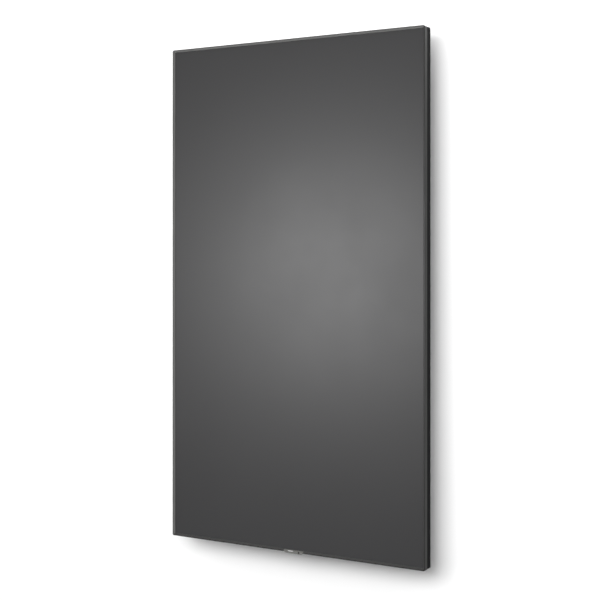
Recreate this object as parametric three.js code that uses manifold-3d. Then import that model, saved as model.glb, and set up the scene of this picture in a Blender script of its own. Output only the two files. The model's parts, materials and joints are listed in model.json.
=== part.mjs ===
// A wall-hung portrait display panel, 55-inch class, built the way it comes apart on a bench.
// Millimetres. X runs across the screen, Z runs up it, and the screen faces -Y.
// The origin is the centre of the flat rear face that the four wall-mount inserts surround.

import * as THREE from 'three';
import { mergeVertices } from 'three/addons/utils/BufferGeometryUtils.js';
import Module from 'manifold-3d';

const wasm = await Module();
wasm.setup();

// Driving dimensions of the whole panel.
const WIDTH = 705;
const HEIGHT = 1234;
const DEPTH = 62;
const EDGE_DEPTH = 31; // the straight side that is seen from in front
const BEZEL_DEPTH = 12; // the part of that side which is bezel
const CORNER_RADIUS = 3.5;
const GAP = 0.3; // between pieces that rest on each other
const MITRE_GAP = 0.21;

const HALF_W = WIDTH / 2;
const HALF_H = HEIGHT / 2;
const FRONT = -DEPTH;
const SHOULDER = FRONT + EDGE_DEPTH;
const BEZEL_BACK = FRONT + BEZEL_DEPTH;

// Bezel section: a flat outer lip, then a slope that runs in and back to the glass.
const LIP_FLAT = 2.2;
const FACE_WIDTH = 5.5;
const SLOPE_DEPTH = 4;
const BEZEL_WALL = 1.5;
const LIP_BACK = FRONT + 4.5;
const BRACKET_LEG = 40;
const BRACKET_THICKNESS = 1.1;

// The stack behind the glass. Each entry is [front, back] along Y.
const CELL_Y = [-57.2, -54.7];
const MID_FRAME_Y = [-54.4, -41];
const MID_FLANGE = 2;
const FILM_Y = [-52.1, -51.3];
const DIFFUSER_Y = [-51, -49];
const REFLECTOR_Y = [-48.7, -38.4];
const REFLECTOR_SKIN = 0.8;
const BAR_Y = [-38.1, -37.2];
const CHASSIS_Y = [-50.5, -35.9];
const CHASSIS_SKIN = 1;
const LAMP_WIRE_HOLE = { x: 108, z: 150, radius: 5 };
const BOARD_FOOT = CHASSIS_Y[1] + 0.3; // where standoffs meet the chassis

// How far each outline lies inside the bezel's outer edge.
const INSET = {
  cornerBracket: BEZEL_WALL + GAP,
  cell: 3.3,
  midFrame: 3.5,
  midFrameWall: 5,
  midFrameOpening: 11,
  chassis: 5.4,
  reflector: 6.9,
  reflectorFloor: 24,
  diffuser: 7.3,
  coverSide: 0.6,
};

// Backlight: vertical bars, each with a row of lenses.
const BAR_COUNT = 4;
const BAR_PITCH = 165;
const BAR_WIDTH = 14;
const BAR_LENGTH = 1130;
const LENS_COUNT = 8;
const LENS_PITCH = 148;
const LENS_HOLE_RADIUS = 9.5;
const LENS_PROFILE = [[0, -0.2], [7, -0.2], [8, 2.5], [4.5, 5], [0, 4.4]]; // radius, height

// Rear cover: a raised field behind the electronics, with sloping sides.
const COVER_SKIN = 2;
const FIELD = { x0: -262, x1: 262, z0: -430, z1: 400 };
const FOOT = { x0: -292, x1: 292, z0: -462, z1: 432 };
const FIELD_RADIUS = 18;
const BAY = { x0: -206, x1: 216, top: -343 }; // where the cables plug in, open below and behind
const TERMINAL_X = [-196, -48];
const SLOT_X = [-36, 92];
const PORT_WINDOW_Y = [-29.5, -4];
const VENT_ROWS_Z = [-290, 180];
const VENT = { count: 16, pitch: 13, width: 4, height: 40 };
const RATING_PLATE = { x: 160, z: -288, width: 92, height: 50, depth: 0.7 };
const SCREW_WELL = { radius: 5.5, depth: 1.1 };
const SCREW_WELLS = [
  [-246, 385], [0, 385], [246, 385], [-246, 120], [0, 120], [246, 120], [-246, -220], [0, -220], [246, -220],
];

// Wall mount: four threaded inserts on a square, carried by two pressed rails.
const MOUNT_PITCH = 400;
const INSERT_RADIUS = 6;
const INSERT_BORE_RADIUS = 3;
const COVER_HOLE_RADIUS = 8;
const RAIL_HALF_LENGTH = 240;
const RAIL_TOP = -2.4;
const RAIL_SKIN = 1.5;

// Cooling fans.
const FAN_X = 150;
const FAN_Z = 320;
const FAN_SIZE = 80;
const FAN_BORE_RADIUS = 38;
const FAN_Y = [-24, -9];
const BLADE_COUNT = 7;

// Loudspeakers beside the raised field's middle.
const SPEAKER_X = 249;
const SPEAKER_Z = -50;
const GRILLE = { count: 10, pitch: 9, width: 14, height: 3 };

// Mains inlet with its rocker switch.
const INLET_X = [118, 186];
const INLET_FLANGE_Y = [-27, -4];
const INLET_CAVITY = { x: [124, 149], y: [-24, -7], depth: 14 };
const ROCKER_POCKET = { half: 6.2, y: [-25, -6] };
const ROCKER_WIDTH = 11.4;
const ROCKER_SECTION = [[-8.4, -3.4], [0, -2], [8.4, -3.4], [6, 4], [-6, 4]];
const ROCKER_PIVOT = { x: 166, y: -15.5, z: -341.5 };
const ROCKER_REST_TILT = THREE.MathUtils.degToRad(-10);

// Key strip on the shoulder, near the panel's right-hand side.
const KEY_NAMES = ['power', 'input', 'plus', 'minus', 'menu'];
const KEY_X = 325;
const KEY_MIDDLE_Z = -260;
const KEY_PITCH = 27;
const KEY_SIZE = { x: 9, z: 16 };

// Sensor pod under the middle of the bottom rail.
const POD_X = [-21, 33];
const POD_DROP = 3;
const POD_TOP = -612.2;
const POD_FRONT_DEPTH = 3.6;
const POD_BACK = -40;
const CHIN_SLOPE = 10; // how far in from each end the chin reaches its full drop
const IR_WINDOW = { x: 20.6, z: -616.4, width: 3.2, height: 4.4 };
const LIGHT_PIPE = { x: 27.5, z: -616.8, width: 5.2, height: 1.4 };
const BADGE = { x: -2.1, z: -614.6, halfWidth: 8, halfHeight: 1.75, segments: 8 };

const HANDLE_Z = [520, -545];
const LOGIC_BOARD_Y = [-30.5, -29];

const panel = new THREE.Group();

// ---------------------------------------------------------------- solids

function solidOf(geometry) {
  const bare = geometry.clone();
  bare.deleteAttribute('normal');
  bare.deleteAttribute('uv');
  const merged = mergeVertices(bare, 1e-4);
  return new wasm.Manifold(new wasm.Mesh({
    numProp: 3,
    vertProperties: new Float32Array(merged.attributes.position.array),
    triVerts: new Uint32Array(merged.index.array),
  }));
}

function geometryOf(solid) {
  const mesh = solid.getMesh();
  const geometry = new THREE.BufferGeometry();
  geometry.setAttribute('position', new THREE.BufferAttribute(mesh.vertProperties, 3));
  geometry.setIndex(new THREE.BufferAttribute(mesh.triVerts, 1));
  return geometry;
}

function join(...pieces) {
  return geometryOf(pieces.map(solidOf).reduce((whole, piece) => whole.add(piece)));
}

function cut(body, ...tools) {
  return geometryOf(tools.map(solidOf).reduce((left, tool) => left.subtract(tool), solidOf(body)));
}

function common(body, tool) {
  return geometryOf(solidOf(body).intersect(solidOf(tool)));
}

function block([x0, x1], [y0, y1], [z0, z1]) {
  const box = new THREE.BoxGeometry(x1 - x0, y1 - y0, z1 - z0);
  return box.translate((x0 + x1) / 2, (y0 + y1) / 2, (z0 + z1) / 2);
}

// A round pin or hole along Y.
function disc(radius, [y0, y1], x, z, sides = 24) {
  const pin = new THREE.CylinderGeometry(radius, radius, y1 - y0, sides);
  return pin.translate(x, (y0 + y1) / 2, z);
}

function outline(points) {
  return new THREE.Shape(points.map(([x, y]) => new THREE.Vector2(x, y)));
}

function roundedRect({ x0, x1, z0, z1 }, radius) {
  const shape = new THREE.Shape();
  shape.absarc(x1 - radius, z1 - radius, radius, 0, Math.PI / 2, false);
  shape.absarc(x0 + radius, z1 - radius, radius, Math.PI / 2, Math.PI, false);
  shape.absarc(x0 + radius, z0 + radius, radius, Math.PI, Math.PI * 1.5, false);
  shape.absarc(x1 - radius, z0 + radius, radius, Math.PI * 1.5, Math.PI * 2, false);
  return shape;
}

// The panel's own outline, moved in by inset.
function frameBox(inset) {
  return { x0: inset - HALF_W, x1: HALF_W - inset, z0: inset - HALF_H, z1: HALF_H - inset };
}

function boxAt(x, z, sizeX, sizeZ) {
  return { x0: x - sizeX / 2, x1: x + sizeX / 2, z0: z - sizeZ / 2, z1: z + sizeZ / 2 };
}

// A shape drawn across X and Z, given thickness along Y.
function plate(shape, [y0, y1], curveSegments = 2) {
  const slab = new THREE.ExtrudeGeometry(shape, { depth: y1 - y0, bevelEnabled: false, curveSegments });
  return slab.rotateX(Math.PI / 2).translate(0, y1, 0);
}

function slab(box, range) {
  return block([box.x0, box.x1], range, [box.z0, box.z1]);
}

// A block whose front and back faces differ in size.
function frustum(front, back, [y0, y1], radius) {
  const body = radius > 0 ? plate(roundedRect(front, radius), [y0, y1], 3) : slab(front, [y0, y1]);
  const position = body.attributes.position;
  const middle = (y0 + y1) / 2;
  for (let i = 0; i < position.count; i += 1) {
    if (position.getY(i) > middle) {
      const u = (position.getX(i) - front.x0) / (front.x1 - front.x0);
      const v = (position.getZ(i) - front.z0) / (front.z1 - front.z0);
      position.setX(i, back.x0 + u * (back.x1 - back.x0));
      position.setZ(i, back.z0 + v * (back.z1 - back.z0));
    }
  }
  return body;
}

function grow(box, by) {
  return { x0: box.x0 - by, x1: box.x1 + by, z0: box.z0 - by, z1: box.z1 + by };
}

function wire(points, radius, steps) {
  const path = new THREE.CatmullRomCurve3(points.map((point) => new THREE.Vector3(...point)));
  const section = new THREE.Shape().absarc(0, 0, radius, 0, Math.PI * 2, false);
  return new THREE.ExtrudeGeometry(section, { steps, curveSegments: 4, extrudePath: path });
}

// ---------------------------------------------------------------- materials

const LOOKS = {
  bezel: [0x2b2b2a, 0.5, 0.2],
  glass: [0x1d1d1f, 0.35, 0],
  steel: [0xb4b6b8, 0.4, 0.9],
  darkSteel: [0x2a2a2c, 0.5, 0.6],
  whiteFilm: [0xf2f2ee, 0.6, 0],
  film: [0xdfe3e6, 0.3, 0],
  board: [0x1f4d33, 0.6, 0],
  lensBoard: [0xe9e9e4, 0.5, 0],
  cover: [0x1c1c1d, 0.7, 0],
  blackPlastic: [0x151516, 0.6, 0],
  keyPlastic: [0x2a2a2b, 0.5, 0],
  badge: [0xb9b9b9, 0.3, 0.9],
  darkWindow: [0x0b0507, 0.1, 0],
  lightPipe: [0x9a9a98, 0.3, 0],
  brass: [0xa8894a, 0.4, 0.9],
  cable: [0xd9d9d4, 0.5, 0],
};

function add(name, look, geometry) {
  const [color, roughness, metalness] = LOOKS[look];
  const mesh = new THREE.Mesh(geometry, new THREE.MeshStandardMaterial({ color, roughness, metalness }));
  mesh.name = name;
  panel.add(mesh);
  return mesh;
}

// ---------------------------------------------------------------- bezel

function bezelRing() {
  const whole = plate(roundedRect(frameBox(0), CORNER_RADIUS), [FRONT, BEZEL_BACK]);
  const slope = frustum(frameBox(LIP_FLAT), frameBox(FACE_WIDTH), [FRONT, FRONT + SLOPE_DEPTH], 0);
  const opening = slab(frameBox(FACE_WIDTH), [FRONT + SLOPE_DEPTH - 0.1, LIP_BACK + 1]);
  const pocket = slab(frameBox(BEZEL_WALL), [LIP_BACK, BEZEL_BACK + 1]);
  return cut(whole, slope, opening, pocket);
}

// The prism that keeps one side of the ring, bounded by the two 45-degree mitres.
function mitreWedge(acrossHalf, alongHalf, swap, side) {
  const inward = -2 * FACE_WIDTH;
  const corners = [[1, 1], [inward, 1], [inward, -1], [1, -1]].map(([out, end]) => {
    const along = end * (alongHalf + out - MITRE_GAP);
    const across = side * (acrossHalf + out);
    return swap ? [along, across] : [across, along];
  });
  return plate(outline(corners), [FRONT - 1, BEZEL_BACK + 1]);
}

function cornerBracket(sideX, sideZ) {
  const thick = BRACKET_THICKNESS;
  const { x1: x, z1: z } = frameBox(INSET.cornerBracket);
  const points = [
    [x, z], [x, z - BRACKET_LEG], [x - thick, z - BRACKET_LEG],
    [x - thick, z - thick], [x - BRACKET_LEG, z - thick], [x - BRACKET_LEG, z],
  ];
  return plate(outline(points.map(([a, b]) => [sideX * a, sideZ * b])), [LIP_BACK + 0.5, BEZEL_BACK - 0.5]);
}

function addBezel() {
  const ring = bezelRing();
  add('bezel_left', 'bezel', common(ring, mitreWedge(HALF_W, HALF_H, false, -1)));
  add('bezel_right', 'bezel', common(ring, mitreWedge(HALF_W, HALF_H, false, 1)));
  add('bezel_top', 'bezel', common(ring, mitreWedge(HALF_H, HALF_W, true, 1)));
  const bottom = common(ring, mitreWedge(HALF_H, HALF_W, true, -1));
  const podSeat = block(POD_X, [FRONT - 1, FRONT + SLOPE_DEPTH], [-HALF_H - 1, POD_TOP + GAP]);
  add('bezel_bottom', 'bezel', cut(bottom, podSeat));
  for (const [row, sideZ] of [['top', 1], ['bottom', -1]]) {
    for (const [column, sideX] of [['left', -1], ['right', 1]]) {
      add(`corner_bracket_${row}_${column}`, 'steel', cornerBracket(sideX, sideZ));
    }
  }
}

// ---------------------------------------------------------------- glass and backlight

function midFrame() {
  const whole = plate(roundedRect(frameBox(INSET.midFrame), CORNER_RADIUS), MID_FRAME_Y);
  const opening = slab(frameBox(INSET.midFrameOpening), [MID_FRAME_Y[0] - 1, MID_FRAME_Y[1]]);
  const pocket = slab(frameBox(INSET.midFrameWall), [MID_FRAME_Y[0] + MID_FLANGE, MID_FRAME_Y[1] + 1]);
  return cut(whole, opening, pocket);
}

function barX(index) {
  return (index - (BAR_COUNT - 1) / 2) * BAR_PITCH;
}

function lensZ(index) {
  return (index - (LENS_COUNT - 1) / 2) * LENS_PITCH;
}

// A tray of white film with a hole for every lens.
function reflector() {
  const [front, back] = REFLECTOR_Y;
  const rim = frameBox(INSET.reflector);
  const floor = frameBox(INSET.reflectorFloor);
  const whole = frustum(rim, floor, [front, back], 0);
  const inside = frustum(
    grow(rim, -REFLECTOR_SKIN),
    grow(floor, -REFLECTOR_SKIN),
    [front, back - REFLECTOR_SKIN],
    0,
  );
  const holes = [];
  for (let bar = 0; bar < BAR_COUNT; bar += 1) {
    for (let lens = 0; lens < LENS_COUNT; lens += 1) {
      holes.push(disc(LENS_HOLE_RADIUS, [back - 2, back + 1], barX(bar), lensZ(lens), 10));
    }
  }
  return cut(whole, inside, ...holes);
}

// A circuit strip with its row of low, dished lenses.
function ledBar(x) {
  const strip = block(
    [x - BAR_WIDTH / 2, x + BAR_WIDTH / 2],
    BAR_Y,
    [-BAR_LENGTH / 2, BAR_LENGTH / 2],
  );
  const lens = new THREE.LatheGeometry(LENS_PROFILE.map(([r, h]) => new THREE.Vector2(r, h)), 10);
  lens.rotateX(Math.PI);
  const lenses = [];
  for (let index = 0; index < LENS_COUNT; index += 1) {
    lenses.push(lens.clone().translate(x, BAR_Y[0], lensZ(index)));
  }
  return join(strip, ...lenses);
}

function chassis() {
  const whole = slab(frameBox(INSET.chassis), CHASSIS_Y);
  const inside = slab(
    frameBox(INSET.chassis + CHASSIS_SKIN),
    [CHASSIS_Y[0] - 1, CHASSIS_Y[1] - CHASSIS_SKIN],
  );
  const { x, z, radius } = LAMP_WIRE_HOLE;
  const wireHole = disc(radius, [CHASSIS_Y[1] - 3, CHASSIS_Y[1] + 1], x, z, 16);
  return cut(whole, inside, wireHole);
}

function addScreenStack() {
  add('lcd_cell', 'glass', slab(frameBox(INSET.cell), CELL_Y));
  add('mid_frame', 'blackPlastic', midFrame());
  add('optical_film_stack', 'film', slab(frameBox(INSET.diffuser), FILM_Y));
  add('diffuser_plate', 'whiteFilm', slab(frameBox(INSET.diffuser), DIFFUSER_Y));
  add('reflector_sheet', 'whiteFilm', reflector());
  for (let bar = 0; bar < BAR_COUNT; bar += 1) {
    add(`led_bar_${bar + 1}`, 'lensBoard', ledBar(barX(bar)));
  }
  add('back_chassis', 'steel', chassis());
}

// ---------------------------------------------------------------- electronics

// A narrow board beside the glass, with its row of driver chips.
function sourceBoard(side) {
  const [near, far, top, chipCount, chipPitch] = [20, 520, -34.6, 6, 83];
  const board = block([-344, -322], [BOARD_FOOT, top], side > 0 ? [near, far] : [-far, -near]);
  const chips = [];
  for (let index = 0; index < chipCount; index += 1) {
    const z = side * (near + chipPitch / 2 + index * chipPitch);
    chips.push(block([-338, -334], [top - 0.1, top + 1], [z - 8, z + 8]));
  }
  return join(board, ...chips);
}

function timingBoard() {
  const [low, top] = [-33, -31.8];
  const processor = block([-22, 22], [top - 0.1, top + 2.2], [296, 330]);
  const ribbonSocket = block([-60, -20], [top - 0.1, top + 1.8], [346, 350]);
  return join(
    block([-90, 90], [low, top], [275, 350]),
    processor,
    ribbonSocket,
    ...standoffs([-82, 82], [281, 344], [BOARD_FOOT, low + 0.1]),
  );
}

function timingShield() {
  return cut(
    block([-78, 78], [-31.5, -24], [283, 342]),
    block([-77.4, 77.4], [-32, -24.6], [283.6, 341.4]),
  );
}

function standoffs(xs, zs, range) {
  return xs.flatMap((x) => zs.map((z) => disc(3, range, x, z, 10)));
}

// What stands on the power board: [x range, highest Y, z range].
const POWER_BLOCKS = {
  mainsSocket: [[138, 162], -18, [-220, -204]],
  lampSocket: [[48, 72], -20, [46, 60]],
  mainsFilter: [[96, 136], -11, [-140, -100]],
  transformer: [[30, 70], -10, [-90, -52]],
  choke: [[96, 140], -9, [-40, 0]],
  inputHeatSink: [[20, 24], -8, [-190, -110]],
  outputHeatSink: [[152, 156], -8, [-80, 20]],
};
// [radius, highest Y, x, z]
const CAPACITORS = [[11, -7, 60, -190], [11, -7, 60, -160], [9, -9, 120, -185]];

function powerBoard() {
  const [low, top] = [-31.5, -29.9];
  return join(
    block([0, 172], [low, top], [-220, 60]),
    ...standoffs([6, 166], [-214, 54], [BOARD_FOOT, low + 0.1]),
    ...Object.values(POWER_BLOCKS).map(([xs, high, zs]) => block(xs, [top - 0.1, high], zs)),
    ...CAPACITORS.map(([radius, high, x, z]) => disc(radius, [top - 0.1, high], x, z, 16)),
  );
}

// Each port is a metal or plastic shell, open towards the cable bay.
// [left edge, width, height from the board, cavity width, cavity height, cavity depth]
const PORTS = {
  lan: [-190, 16, 14, 12, 9, 12],
  hdmi_1: [-165, 17, 8, 14.4, 5, 10],
  hdmi_2: [-140, 17, 8, 14.4, 5, 10],
  display: [-115, 19, 8, 16.4, 5, 10],
  usb: [-88, 15, 8.5, 12.6, 5.4, 12],
};
const PORT_MOUTH = BAY.top + 1;

function portShell([left, width, height]) {
  return block(
    [left, left + width],
    [LOGIC_BOARD_Y[1] - 0.1, LOGIC_BOARD_Y[1] + height],
    [PORT_MOUTH, PORT_MOUTH + 20],
  );
}

function portCavity([left, width, height, cavityWidth, cavityHeight, cavityDepth]) {
  const x = left + (width - cavityWidth) / 2;
  const y = LOGIC_BOARD_Y[1] + (height - cavityHeight) / 2;
  return block([x, x + cavityWidth], [y, y + cavityHeight], [PORT_MOUTH - 1, PORT_MOUTH + cavityDepth]);
}

function mainBoard() {
  const ports = Object.values(PORTS);
  const [low, top] = LOGIC_BOARD_Y;
  const heatSink = block([-120, -80], [top - 0.1, -22], [-300, -262]);
  const slotSocket = block([-20, 60], [top - 0.1, -18], [-300, -290]);
  const body = join(
    block([-195, 90], LOGIC_BOARD_Y, [PORT_MOUTH + 3, -245]),
    ...standoffs([-188, 83], [-330, -252], [BOARD_FOOT, low + 0.1]),
    ...ports.map(portShell),
    heatSink,
    slotSocket,
  );
  return cut(body, ...ports.map(portCavity));
}

function addElectronics() {
  add('source_board_upper', 'board', sourceBoard(1));
  add('source_board_lower', 'board', sourceBoard(-1));
  add('timing_board', 'board', timingBoard());
  add('timing_shield', 'steel', timingShield());
  add('power_board', 'board', powerBoard());
  add('main_board', 'board', mainBoard());
  const ribbonRoute = [[-20, 350.3], [-20, 392], [-321.7, 392], [-321.7, 362], [-60, 362], [-60, 350.3]];
  add('timing_ribbon', 'cable', plate(outline(ribbonRoute), [-34.6, -34.3]));
  add('board_link_ribbon', 'cable', block([-340, -326], [-35.2, -34.9], [-19.7, 19.7]));
  const mainsRoute = [
    [152, -15, -317], [152, -15, -300], [151, -18, -270], [150, -24, -240], [150, -24, -221],
  ];
  add('mains_wire', 'cable', wire(mainsRoute, 3.5, 16));
  const lampRoute = [
    [60, -25, 61], [60, -25, 92], [72, -25, 122], [94, -26, 143],
    [106, -29, 149], [108, -33, 150], [108, -37.4, 150],
  ];
  add('backlight_wire', 'cable', wire(lampRoute, 2.5, 22));
}

// Long narrow enclosure with an oblong driver that fires through the rear cover.
function speaker(side) {
  const middle = side * SPEAKER_X;
  const [back, front] = [-33, -10];
  const surround = roundedRect(boxAt(middle, SPEAKER_Z, 20, 96), 9.9);
  const cone = roundedRect(boxAt(middle, SPEAKER_Z, 12, 84), 5.9);
  return join(
    cut(slab(boxAt(middle, SPEAKER_Z, 26, 130), [back, front]), plate(surround, [front - 2, front + 1])),
    plate(cone, [front - 2.5, front - 0.6]),
  );
}

// ---------------------------------------------------------------- fans

function fanFrame(x) {
  const middle = FAN_Y[0] + 1;
  const half = FAN_SIZE / 2;
  const square = plate(roundedRect(boxAt(x, FAN_Z, FAN_SIZE, FAN_SIZE), 5), FAN_Y);
  const bored = cut(square, disc(FAN_BORE_RADIUS, [FAN_Y[0] - 1, FAN_Y[1] + 1], x, FAN_Z, 36));
  return join(
    bored,
    disc(16, [FAN_Y[0], FAN_Y[0] + 3.5], x, FAN_Z, 24),
    block([x - half + 1, x + half - 1], [FAN_Y[0], middle + 1], [FAN_Z - 2, FAN_Z + 2]),
    block([x - 2, x + 2], [FAN_Y[0], middle + 1], [FAN_Z - half + 1, FAN_Z + half - 1]),
    ...standoffs([x - 35, x + 35], [FAN_Z - 35, FAN_Z + 35], [BOARD_FOOT, FAN_Y[0] + 0.1]),
  );
}

function fanRotor(x) {
  const hub = disc(17, [FAN_Y[0] + 4.2, FAN_Y[1] - 1.5], x, FAN_Z, 24);
  const blades = [];
  for (let index = 0; index < BLADE_COUNT; index += 1) {
    const blade = new THREE.BoxGeometry(20.5, 1.5, 12);
    blade.rotateX(THREE.MathUtils.degToRad(40));
    blade.translate(26, (FAN_Y[0] + FAN_Y[1]) / 2 + 1.3, 0);
    blade.rotateY((index * Math.PI * 2) / BLADE_COUNT);
    blades.push(blade.translate(x, 0, FAN_Z));
  }
  return join(hub, ...blades);
}

// ---------------------------------------------------------------- wall mount

// A pressed hat-section rail that stands on the chassis.
function mountRail(x) {
  const low = CHASSIS_Y[1] + GAP;
  const [outer, inner, foot] = [18, 18 - RAIL_SKIN, 30];
  const section = [
    [-foot, low], [-inner, low], [-inner, RAIL_TOP - RAIL_SKIN], [inner, RAIL_TOP - RAIL_SKIN],
    [inner, low], [foot, low], [foot, low + RAIL_SKIN], [outer, low + RAIL_SKIN],
    [outer, RAIL_TOP], [-outer, RAIL_TOP], [-outer, low + RAIL_SKIN], [-foot, low + RAIL_SKIN],
  ];
  const depth = RAIL_HALF_LENGTH * 2;
  const rail = new THREE.ExtrudeGeometry(outline(section), { depth, bevelEnabled: false });
  rail.translate(x, 0, -RAIL_HALF_LENGTH);
  const holes = [-1, 1].map((end) => {
    const z = (end * MOUNT_PITCH) / 2;
    return disc(INSERT_RADIUS + GAP, [RAIL_TOP - 4, RAIL_TOP + 1], x, z);
  });
  return cut(rail, ...holes);
}

// A flanged M6 insert, held in the rail and reached through the cover.
function mountInsert(x, z) {
  const flangeTop = RAIL_TOP - RAIL_SKIN - GAP;
  return cut(
    join(
      disc(INSERT_RADIUS, [-16, -0.8], x, z),
      disc(9.5, [flangeTop - 2, flangeTop], x, z),
    ),
    disc(INSERT_BORE_RADIUS, [-14, 0], x, z, 20),
  );
}

function addMounting() {
  for (const [column, sideX] of [['left', -1], ['right', 1]]) {
    const x = (sideX * MOUNT_PITCH) / 2;
    add(`mount_rail_${column}`, 'steel', mountRail(x));
    for (const [row, sideZ] of [['top', 1], ['bottom', -1]]) {
      add(`mount_insert_${row}_${column}`, 'brass', mountInsert(x, (sideZ * MOUNT_PITCH) / 2));
    }
  }
}

// ---------------------------------------------------------------- rear cover

function coverBody(inset, skin) {
  const side = plate(
    roundedRect(frameBox(inset), CORNER_RADIUS - skin),
    [BEZEL_BACK + GAP - skin, SHOULDER - skin],
  );
  const field = frustum(grow(FOOT, -skin), grow(FIELD, -skin), [SHOULDER - skin - 0.1, -skin], FIELD_RADIUS);
  const bay = block(
    [BAY.x0 - skin, BAY.x1 + skin],
    [SHOULDER - skin, 1],
    [FOOT.z0 - 10, BAY.top + skin],
  );
  return join(side, cut(field, bay));
}

// Slots whose lengths follow a circle, behind each fan.
function fanSlots(x) {
  const slots = [];
  for (let row = -5; row <= 5; row += 1) {
    const half = Math.sqrt((FAN_BORE_RADIUS - 1) ** 2 - (row * 6.6) ** 2);
    const z = FAN_Z + row * 6.6;
    slots.push(block([x - half, x + half], [-COVER_SKIN - 1, 1], [z - 1.7, z + 1.7]));
  }
  return slots;
}

function ventSlots(x, z, { count, pitch, width, height }, alongX) {
  const slots = [];
  for (let index = 0; index < count; index += 1) {
    const offset = (index - (count - 1) / 2) * pitch;
    const box = boxAt(alongX ? x + offset : x, alongX ? z : z + offset, width, height);
    slots.push(slab(box, [-COVER_SKIN - 1, 1]));
  }
  return slots;
}

function rearCover() {
  const shell = cut(coverBody(INSET.coverSide, 0), coverBody(INSET.coverSide + COVER_SKIN, COVER_SKIN));
  const mountHoles = [-1, 1].flatMap((sideX) => [-1, 1].map((sideZ) => disc(
    COVER_HOLE_RADIUS,
    [-COVER_SKIN - 1, 1],
    (sideX * MOUNT_PITCH) / 2,
    (sideZ * MOUNT_PITCH) / 2,
  )));
  const bayWall = [BAY.top - 1, BAY.top + COVER_SKIN + 1];
  const plateRecess = boxAt(RATING_PLATE.x, RATING_PLATE.z, RATING_PLATE.width, RATING_PLATE.height);
  return cut(
    shell,
    ...mountHoles,
    ...[-1, 1].flatMap((side) => fanSlots(side * FAN_X)),
    ...[-1, 1].flatMap((side) => ventSlots(side * SPEAKER_X, SPEAKER_Z, GRILLE, false)),
    ...VENT_ROWS_Z.flatMap((z) => ventSlots(0, z, VENT, true)),
    ...SCREW_WELLS.map(([x, z]) => disc(SCREW_WELL.radius, [-SCREW_WELL.depth, 1], x, z, 16)),
    slab(plateRecess, [-RATING_PLATE.depth, 1]),
    block(TERMINAL_X, PORT_WINDOW_Y, bayWall),
    block([SLOT_X[0] + 6, SLOT_X[1] - 6], [PORT_WINDOW_Y[0] + 2, PORT_WINDOW_Y[1] - 2], bayWall),
    block([INLET_X[0] + 2.6, INLET_X[1] - 2.6], [INLET_FLANGE_Y[0] + 1, INLET_FLANGE_Y[1] - 1], bayWall),
    slab(boxAt(KEY_X, KEY_MIDDLE_Z, 14, 136), [SHOULDER - COVER_SKIN - 1, SHOULDER + 1]),
  );
}

// The steel plate that the ports look through.
function terminalPlate() {
  const [z0, z1] = [BAY.top + COVER_SKIN + GAP, BAY.top + COVER_SKIN + GAP + 1];
  const windows = Object.values(PORTS).map(([left, width, height]) => block(
    [left - GAP, left + width + GAP],
    [LOGIC_BOARD_Y[1] - 1, LOGIC_BOARD_Y[1] + height + GAP],
    [z0 - 1, z1 + 1],
  ));
  return cut(block([-200, -44], [LOGIC_BOARD_Y[1] + GAP, -3], [z0, z1]), ...windows);
}

function slotCover() {
  const z = BAY.top - GAP;
  return join(
    block(SLOT_X, PORT_WINDOW_Y, [z - 1.2, z]),
    block([10, 46], [-17.5, -14.5], [z - 7, z - 1.1]),
  );
}

// A strap handle: a flat bar bent to a bridge, with a foot at each end.
function handle(z) {
  const low = SHOULDER + GAP;
  const [outer, bar, footLength, footThick, top, height] = [70, 9, 24, 2.5, -4, 14];
  const [outerRadius, innerRadius] = [14, 6];
  const shape = new THREE.Shape();
  shape.moveTo(-outer - footLength, low);
  shape.lineTo(bar - outer, low);
  shape.absarc(bar - outer + innerRadius, top - bar - innerRadius, innerRadius, Math.PI, Math.PI / 2, true);
  shape.absarc(outer - bar - innerRadius, top - bar - innerRadius, innerRadius, Math.PI / 2, 0, true);
  shape.lineTo(outer - bar, low);
  shape.lineTo(outer + footLength, low);
  shape.lineTo(outer + footLength, low + footThick);
  shape.lineTo(outer, low + footThick);
  shape.absarc(outer - outerRadius, top - outerRadius, outerRadius, 0, Math.PI / 2, false);
  shape.absarc(outerRadius - outer, top - outerRadius, outerRadius, Math.PI / 2, Math.PI, false);
  shape.lineTo(-outer, low + footThick);
  shape.lineTo(-outer - footLength, low + footThick);
  const strap = new THREE.ExtrudeGeometry(shape, { depth: height, bevelEnabled: false, curveSegments: 3 });
  return strap.translate(0, 0, z - height / 2);
}

function addRear() {
  add('rear_cover', 'cover', rearCover());
  add('terminal_plate', 'steel', terminalPlate());
  add('option_slot_cover', 'darkSteel', slotCover());
  add('handle_top', 'darkSteel', handle(HANDLE_Z[0]));
  add('handle_bottom', 'darkSteel', handle(HANDLE_Z[1]));
  for (const [side, sideX] of [['left', -1], ['right', 1]]) {
    add(`fan_frame_${side}`, 'blackPlastic', fanFrame(sideX * FAN_X));
    add(`fan_rotor_${side}`, 'blackPlastic', fanRotor(sideX * FAN_X));
    add(`speaker_${side}`, 'blackPlastic', speaker(sideX));
  }
}

// ---------------------------------------------------------------- mains inlet and switch

function acInlet() {
  const face = BAY.top - GAP - 1.5;
  const housingY = [INLET_FLANGE_Y[0] + 1.5, INLET_FLANGE_Y[1] - 1.5];
  const body = join(
    block(INLET_X, INLET_FLANGE_Y, [face, BAY.top - GAP]),
    block([INLET_X[0] + 3, INLET_X[1] - 3], housingY, [face + 1, -318]),
  );
  const { half, y } = ROCKER_POCKET;
  return cut(
    body,
    block(INLET_CAVITY.x, INLET_CAVITY.y, [face - 1, face + INLET_CAVITY.depth]),
    block([ROCKER_PIVOT.x - half, ROCKER_PIVOT.x + half], y, [face - 1, ROCKER_PIVOT.z + 6]),
  );
}

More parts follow.
